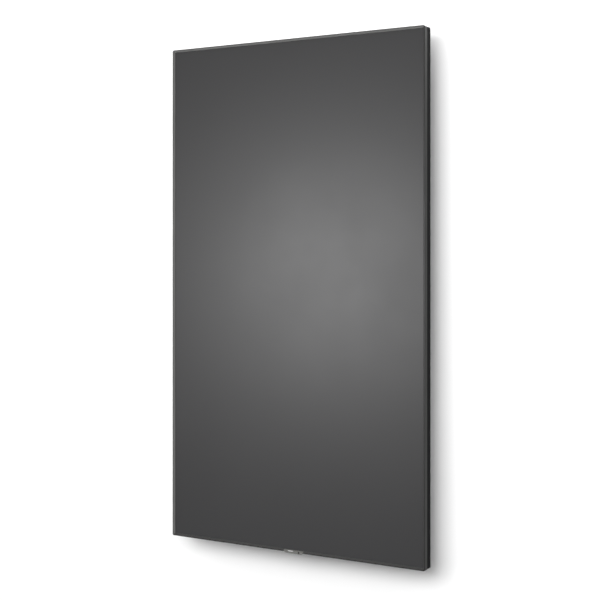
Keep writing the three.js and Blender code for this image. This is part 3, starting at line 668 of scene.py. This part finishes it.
def shell_liner(name, rim, look, slot):
    """The thin plated shell that lines a port and turns out over its rim."""
    place, size = port_place(name)
    wall = 0.35 * MM
    lip = 0.25 * MM
    outer = (size.x + 2 * rim[0] * MM, size.y + 2 * rim[1] * MM)
    cavity = (size.x - 0.06 * MM, size.y - 0.06 * MM)
    inner = (cavity[0] - 2 * wall, cavity[1] - 2 * wall)
    near = 0.03 * MM
    levels = [
        (cavity, -size.z + near),
        (cavity, near),
        (outer, near),
        (outer, lip - near),
        ((outer[0] - 2 * near, outer[1] - 2 * near), lip),
        ((inner[0] + wall, inner[1] + wall), lip),
        (inner, 0),
        (inner, -size.z + near),
    ]
    form = Form()
    rings = []
    for (width, height), level in levels:
        rings.append([(x, y, level) for x, y in rounded_outline(width, height, 0.5 * MM)])
    form.loft(rings, place, looped=True)
    form.piece(f"{name}_shell", look, slot)
    return place, size


def add_tongue(name, place, size, thickness, rise, contacts, look):
    """The insulating tongue in a port, with its row of plated contacts."""
    length = size.z - 1.6 * MM
    tongue = Form()
    base = Matrix.Translation((0, rise * MM, -size.z))
    width = size.x - 3 * MM
    tongue.tile(width, thickness * MM, length, place @ base, 0.3 * MM, 0.25 * MM)
    tongue.piece(f"{name}_tongue", look, "white_plastic" if look == "white" else "black_plastic")
    strips = Form()
    pitch = width / (contacts + 1)
    for index in range(contacts):
        x = (index - (contacts - 1) / 2) * pitch
        for side in (-1, 1):
            centre = Matrix.Translation((x, (rise + side * thickness / 2) * MM, -size.z))
            strip = (pitch * 0.5, 0.16 * MM, length - 0.7 * MM)
            strips.tile(*strip, place @ centre, 0.03 * MM, 0.03 * MM)
    strips.piece(f"{name}_contacts", "contact", "insert_metal")


def add_network_parts(place, size):
    """Eight sprung contacts and the two little lights beside the plug."""
    springs = Form()
    for index in range(8):
        x = (index - 3.5) * 1.02 * MM
        rings = []
        for step in range(7):
            along = step / 6
            depth = -size.z + 0.6 * MM + along * (size.z - 2.6 * MM)
            drop = size.y / 2 - 0.7 * MM - 2.4 * MM * (1 - along)
            rings.append([
                (x + 0.2 * MM * sx, drop + 0.12 * MM * sy, depth)
                for sx, sy in ((-1, -1), (1, -1), (1, 1), (-1, 1))
            ])
        springs.loft(rings, place)
    springs.piece("network_port_contacts", "contact", "insert_metal")
    lights = Form()
    for side in (-1, 1):
        centre = Matrix.Translation((side * 4.6 * MM, -size.y / 2 - 1.3 * MM, 0.2 * MM))
        lights.tile(3.0 * MM, 1.5 * MM, 0.25 * MM, place @ centre, 0.3 * MM, 0.08 * MM)
    lights.piece("network_port_lights", "pipe", "light_pipe")


def add_ports():
    """Three video ports, a USB port and a network port."""
    for index in (1, 2, 3):
        name = f"video_port_{index}"
        place, size = shell_liner(name, (1.2, 1.4), "nickel", "plated_steel")
        add_tongue(name, place, size, 1.1, 0.1, 10 if index < 3 else 12, "black_plastic")
    place, size = shell_liner("usb_port", (1.1, 1.45), "nickel", "plated_steel")
    add_tongue("usb_port", place, size, 1.7, 0.9, 4, "white")
    place, size = shell_liner("network_port", (1.9, 2.4), "black_plastic", "black_plastic")
    add_network_parts(place, size)


def add_inlet_pins():
    """Line, neutral and earth: flat blades with pointed tips."""
    low, high = opening_box("mains_inlet")
    floor = high.z + 0.4 * MM
    middle = (low.x + high.x) / 2
    centre_y = (low.y + high.y) / 2
    pins = Form()
    for x, y in ((-7, 2), (0, -2), (7, 2)):
        place = facing((middle + x * MM, centre_y + y * MM, floor), (0, 0, -1), (0, 1, 0))
        rings = []
        for share, level in ((1, 0), (1, 10.6), (0.82, 11.6), (0.45, 12.2)):
            outline = rounded_outline(2 * MM * share, 4 * MM * share, 0.35 * MM * share)
            rings.append([(px, py, level * MM) for px, py in outline])
        pins.loft(rings, place)
    pins.piece("inlet_pins", "nickel", "plated_steel")


# ---------------------------------------------------------------- marks, plate, threads and fans

KEY_MARKS = {
    "key_plus": [[(-1.7, 0), (1.7, 0)], [(0, -1.7), (0, -0.28)], [(0, 0.28), (0, 1.7)]],
    "key_minus": [[(-1.7, 0), (1.7, 0)]],
    "key_menu": [[(-1.8, y), (1.8, y)] for y in (-1.5, 0, 1.5)],
    "key_input": [
        [(-0.4, 2.1), (-2.1, 2.1), (-2.1, -2.1), (-0.4, -2.1)], [(2.3, 0), (-0.5, 0)],
        [(0.2, 1.2), (-0.9, 0), (0.2, -1.2)],
    ],
    "key_power": [arc(2.1, 125, 415, 14), [(0, 0.4), (0, 2.6)]],
}


def joint_place(name):
    return next(joint["pos_m"] for joint in frame["joints"] if joint["name"] == name)


def add_key_marks():
    """Plain raised signs on the keys, and a bar and a ring on the rocker."""
    for key, lines in KEY_MARKS.items():
        low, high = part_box(key)
        place = facing(((low.x + high.x) / 2, high.y, (low.z + high.z) / 2), (0, 1, 0))
        mark = Form()
        for line in lines:
            mark.stroke([(x * MM, y * MM) for x, y in line], 0.5 * MM, 0.14 * MM, place)
        mark.piece(f"{key}_mark", "legend", "key_plastic", key)
    pivot = joint_place("mains_rocker_tilt")
    rest = Matrix.Translation(pivot) @ Matrix.Rotation(ROCKER_REST_TILT, 4, "X")
    slope = Vector((0, ROCKER_HALF_FACE, -ROCKER_FACE_FALL)).normalized()
    reach = 4.4
    level = -2 - ROCKER_FACE_FALL * reach / ROCKER_HALF_FACE
    signs = Form()
    for side in (-1, 1):
        middle = Vector((0, side * reach, level)) * MM
        normal = (0, side * slope.z, -slope.y)
        place = rest @ facing(middle, normal, (0, 1, 0))
        if side > 0:
            signs.stroke([(0, -1.9 * MM), (0, 1.9 * MM)], 0.6 * MM, 0.12 * MM, place)
        else:
            ring = [(x * MM, y * MM) for x, y in arc(1.8, 0, 345, 23)]
            signs.stroke(ring, 0.55 * MM, 0.12 * MM, place, closed=True)
    signs.piece("rocker_marks", "legend", "key_plastic", "mains_rocker")


def add_rating_plate():
    """A plain plate with a printed border and blank rows, in its recess."""
    x, z = PLATE_CENTRE
    place = facing(Vector((x, FIELD_Y / MM - PLATE_RECESS, z)) * MM, (0, 1, 0))
    plate = Form()
    plate.tile(90 * MM, 48 * MM, 0.35 * MM, place, 2.5 * MM, 0.1 * MM)
    plate.piece("rating_plate", "label", "plated_steel")
    print_place = place @ Matrix.Translation((0, 0, 0.34 * MM))
    border = Form()
    ink = 0.04 * MM
    edge = rounded_outline(84 * MM, 42 * MM, 1.5 * MM)
    border.stroke(edge, 0.5 * MM, ink, print_place, True)
    for y in (-7, 7):
        row = [(-41.5 * MM, y * MM), (41.5 * MM, y * MM)]
        border.stroke(row, 0.35 * MM, ink, print_place)
    border.piece("rating_plate_border", "dark_print", "black_plastic")


def add_threads():
    """The screw thread inside each wall-mount insert."""
    pitch, steps, depth = 1.0, 16, 12.4
    for row in ("top", "bottom"):
        for column in ("left", "right"):
            low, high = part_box(f"mount_insert_{row}_{column}")
            place = facing(((low.x + high.x) / 2, high.y, (low.z + high.z) / 2), (0, 1, 0))
            rings = []
            for step in range(int(depth / pitch * steps)):
                angle = 2 * math.pi * step / steps
                level = -0.5 - pitch * step / steps
                rings.append([
                    (r * MM * math.cos(angle), r * MM * math.sin(angle), (level + h) * MM)
                    for r, h in ((2.98, -0.4), (2.98, 0.4), (2.55, 0.06), (2.55, -0.06))
                ])
            thread = Form()
            thread.loft(rings, place)
            thread.piece(f"mount_thread_{row}_{column}", "insert", "insert_metal", angle=50)


def add_rotor(side):
    """A moulded fan rotor: a capped hub and seven curved, twisted blades."""
    node = f"fan_rotor_{side}"
    low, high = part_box(node)
    x, _, z = joint_place(f"fan_spin_{side}")
    place = facing((x, low.y, z), (0, 1, 0))
    depth = (high.y - low.y) / MM
    rotor = Form()
    hub = [
        (16.2, 0), (17, 0.6), (17, depth - 1.6), (16.4, depth - 0.6), (15.2, depth - 0.1),
        (4, depth - 0.05),
    ]
    rotor.turned([(r * MM, h * MM) for r, h in hub], place, 40)
    root, tip = 16.6, 36.4
    blades = 7
    for blade in range(blades):
        rings = []
        for station in range(7):
            out = station / 6
            radius = root + (tip - root) * out
            chord = math.radians(40 - 6 * out)
            lead = 2 * math.pi * blade / blades + math.radians(16) * out
            height = (depth - 1.4) * (1 - 0.12 * out)
            section = []
            for skin, order in ((1, range(7)), (-1, range(6, -1, -1))):
                for step in order:
                    share = step / 6
                    thick = 0.75 * math.sin(math.pi * (0.08 + 0.84 * share)) * skin
                    camber = 1.3 * math.sin(math.pi * share)
                    angle = lead + chord * (share - 0.5)
                    level = depth / 2 + height * (0.5 - share) * 0.86 + camber + thick - 0.6
                    section.append((
                        radius * MM * math.cos(angle), radius * MM * math.sin(angle), level * MM,
                    ))
            rings.append(section)
        rotor.loft(rings, place)
    rotor = rotor.piece(f"{node}_moulding", "black_plastic", "black_plastic", node, 50)
    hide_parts(node)
    cap = Form()
    cap.turned(
        [(11.5 * MM, 0), (11.5 * MM, 0.12 * MM), (11.3 * MM, 0.18 * MM), (0.3 * MM, 0.18 * MM)],
        place @ Matrix.Translation((0, 0, (depth - 0.12) * MM)), 40,
    )
    cap.piece(f"{node}_hub_disc", "label", "plated_steel", node)


# ---------------------------------------------------------------- stage, light and camera

WALL_Y = 28 * MM
FLOOR_Z = -1.1


def stage_plane(name, corners, colour, one_sided=False):
    mesh = bpy.data.meshes.new(name)
    mesh.from_pydata([Vector(corner) for corner in corners], [], [(0, 1, 2, 3)])
    obj = bpy.data.objects.new(name, mesh)
    bpy.context.scene.collection.objects.link(obj)
    shader = Shader(name + "_paint", Roughness=0.9)
    shader.bsdf.inputs["Specular IOR Level"].default_value = 0.1
    shader.colour(shader.remap(shader.noise(3, 2), 0, 1), tint(colour, 0.985), colour)
    if one_sided:
        clear = shader.node("ShaderNodeBsdfTransparent")
        side = shader.node("ShaderNodeNewGeometry")
        mix = shader.node("ShaderNodeMixShader")
        output = shader.tree.nodes["Material Output"]
        shader.link(side.outputs["Backfacing"], mix.inputs[0])
        shader.link(shader.bsdf.outputs[0], mix.inputs[1])
        shader.link(clear.outputs[0], mix.inputs[2])
        shader.link(mix.outputs[0], output.inputs["Surface"])
    paint(obj, shader.material)
    return obj


def make_stage():
    reach, wall_top = 6, 4
    square = ((-reach, -reach), (reach, -reach), (reach, reach), (-reach, reach))
    floor = stage_plane("floor", [(x, y, FLOOR_Z) for x, y in square], (0.84, 0.84, 0.83))
    floor.visible_diffuse = False
    floor.visible_glossy = False
    upright = ((-reach, FLOOR_Z), (reach, FLOOR_Z), (reach, wall_top), (-reach, wall_top))
    wall_corners = [(x, WALL_Y, z) for x, z in upright]
    wall = stage_plane("wall", wall_corners, (0.9, 0.9, 0.9), one_sided=True)
    wall.visible_diffuse = False
    wall.visible_glossy = False
    wall.visible_transmission = False
    wall.visible_shadow = False


def area_light(name, place, aim, size, power):
    data = bpy.data.lights.new(name, "AREA")
    data.shape = "ELLIPSE"
    data.size, data.size_y = size
    data.energy = power
    light = bpy.data.objects.new(name, data)
    bpy.context.scene.collection.objects.link(light)
    light.location = place
    light.rotation_mode = "QUATERNION"
    light.rotation_quaternion = (Vector(aim) - Vector(place)).to_track_quat("-Z", "Y")
    light.visible_camera = False
    return light


def world_strength(tree):
    """Light comes from above only; the gloss and the camera each see an even level instead."""
    place = tree.nodes.new("ShaderNodeTexCoord")
    height = tree.nodes.new("ShaderNodeSeparateXYZ")
    tree.links.new(place.outputs["Generated"], height.inputs[0])
    lit = tree.nodes.new("ShaderNodeMapRange")
    lit.inputs["From Min"].default_value = -0.05
    lit.inputs["From Max"].default_value = 0.05
    lit.inputs["To Max"].default_value = SKY_LEVEL
    tree.links.new(height.outputs["Z"], lit.inputs["Value"])
    ray = tree.nodes.new("ShaderNodeLightPath")
    strength = lit.outputs["Result"]
    for kind, level in (("Is Glossy Ray", GLOSS_LEVEL), ("Is Camera Ray", BACKDROP_LEVEL)):
        pick = tree.nodes.new("ShaderNodeMix")
        tree.links.new(ray.outputs[kind], pick.inputs[0])
        tree.links.new(strength, pick.inputs[2])
        pick.inputs[3].default_value = level
        strength = pick.outputs[0]
    return strength


def make_light():
    world = bpy.data.worlds.new("studio")
    bpy.context.scene.world = world
    world.use_nodes = True
    world.cycles.sampling_method = "NONE"
    background = world.node_tree.nodes["Background"]
    background.inputs["Color"].default_value = (1, 1, 1, 1)
    world.node_tree.links.new(world_strength(world.node_tree), background.inputs["Strength"])
    key = area_light("key", KEY_PLACE, (0, 0, 0), KEY_SIZE, KEY_POWER)
    key.visible_glossy = False
    glow = area_light("glow", GLOW_PLACE, (0.11, -0.06, 0.07), GLOW_SIZE, GLOW_POWER)
    glow.visible_diffuse = False
    area_light("rear_fill", (0, 3.0, 1.8), (0, 0, 0), (1.8, 1.8), REAR_POWER)
    area_light("rear_side", (-2.6, 1.5, 0.9), (0, 0, 0.1), (0.7, 1.4), REAR_SIDE_POWER)
    area_light("rear_low", (-0.5, 1.6, -0.95), (0, 0, -0.3), (1.4, 0.5), REAR_LOW_POWER)


def make_camera():
    data = bpy.data.cameras.new("camera")
    data.lens = CAMERA_LENS
    data.sensor_width = 36
    data.shift_y = CAMERA_SHIFT
    camera = bpy.data.objects.new("camera", data)
    bpy.context.scene.collection.objects.link(camera)
    camera.location = CAMERA_PLACE
    camera.rotation_mode = "QUATERNION"
    heading = Vector((-math.sin(CAMERA_AZIMUTH), math.cos(CAMERA_AZIMUTH), 0))
    camera.rotation_quaternion = heading.to_track_quat("-Z", "Y")
    bpy.context.scene.camera = camera
    bpy.context.scene.view_settings.view_transform = "Standard"


looks = make_materials()
dress_frame(looks)
add_handle("top")
add_handle("bottom")
add_screws()
add_ports()
add_inlet_pins()
add_key_marks()
add_rating_plate()
add_threads()
add_rotor("left")
add_rotor("right")
make_stage()
make_light()
make_camera()
